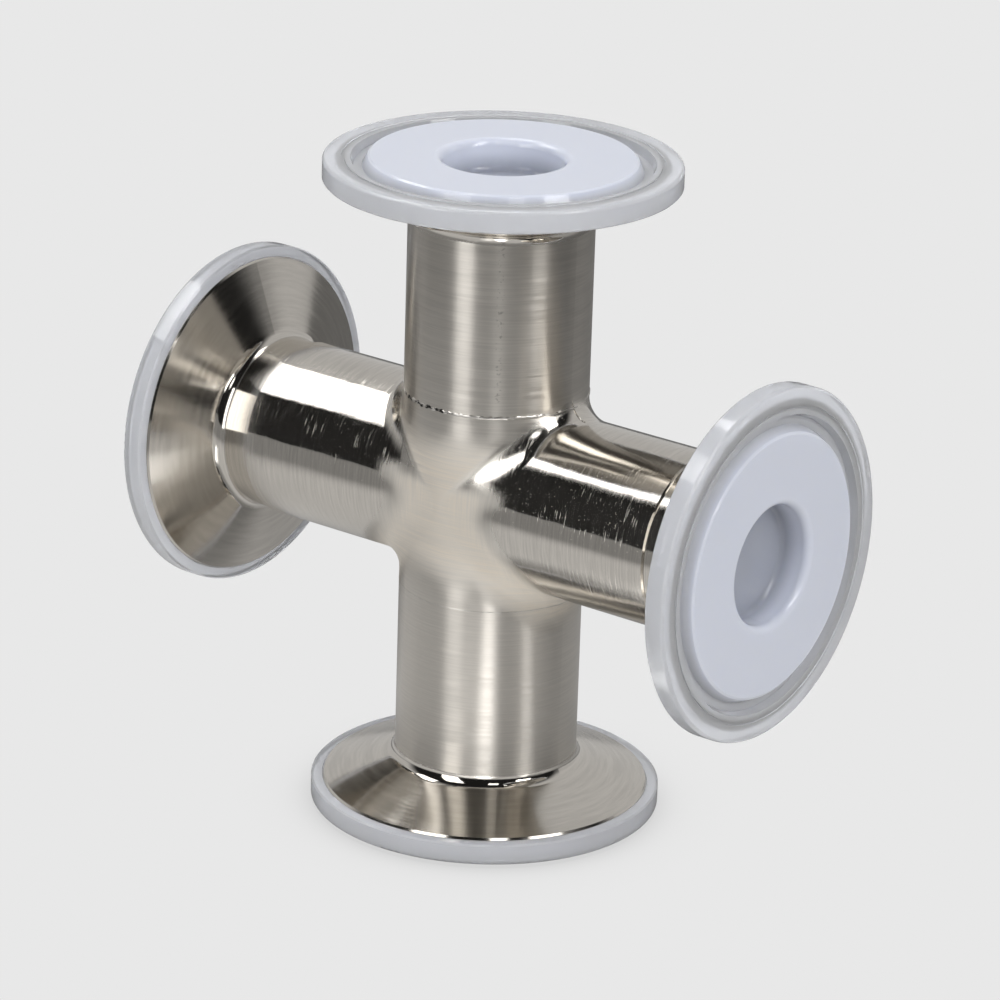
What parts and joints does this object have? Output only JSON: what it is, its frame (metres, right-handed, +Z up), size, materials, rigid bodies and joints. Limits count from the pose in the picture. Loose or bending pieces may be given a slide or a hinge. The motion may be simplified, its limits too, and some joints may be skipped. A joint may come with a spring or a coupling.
{
  "type": "sanitary clamp cross",
  "caption": "Equal cross of polished stainless tube with clamp ferrules on its legs, each closed by a translucent push-on protective cap.",
  "frame": {"origin": "where the axes of the two tubes cross, which is also the middle of the bounding box", "axes": "+Z up along the run, +X along the right branch, +Y towards the back"},
  "size_m": [0.104, 0.054, 0.104],
  "materials": {
    "brushed_stainless": "dressed and brushed round the tube",
    "polished_stainless": "turned and polished",
    "cap_polyethylene": "moulded, milky and translucent"
  },
  "bodies": {
    "root": {"cross_body": "brushed_stainless", "ferrule_top": "brushed_stainless", "ferrule_bottom": "brushed_stainless", "ferrule_right": "polished_stainless", "ferrule_left": "polished_stainless", "cap_top": "cap_polyethylene", "cap_bottom": "cap_polyethylene", "cap_right": "cap_polyethylene", "cap_left": "cap_polyethylene"}
  },
  "joints": []
}
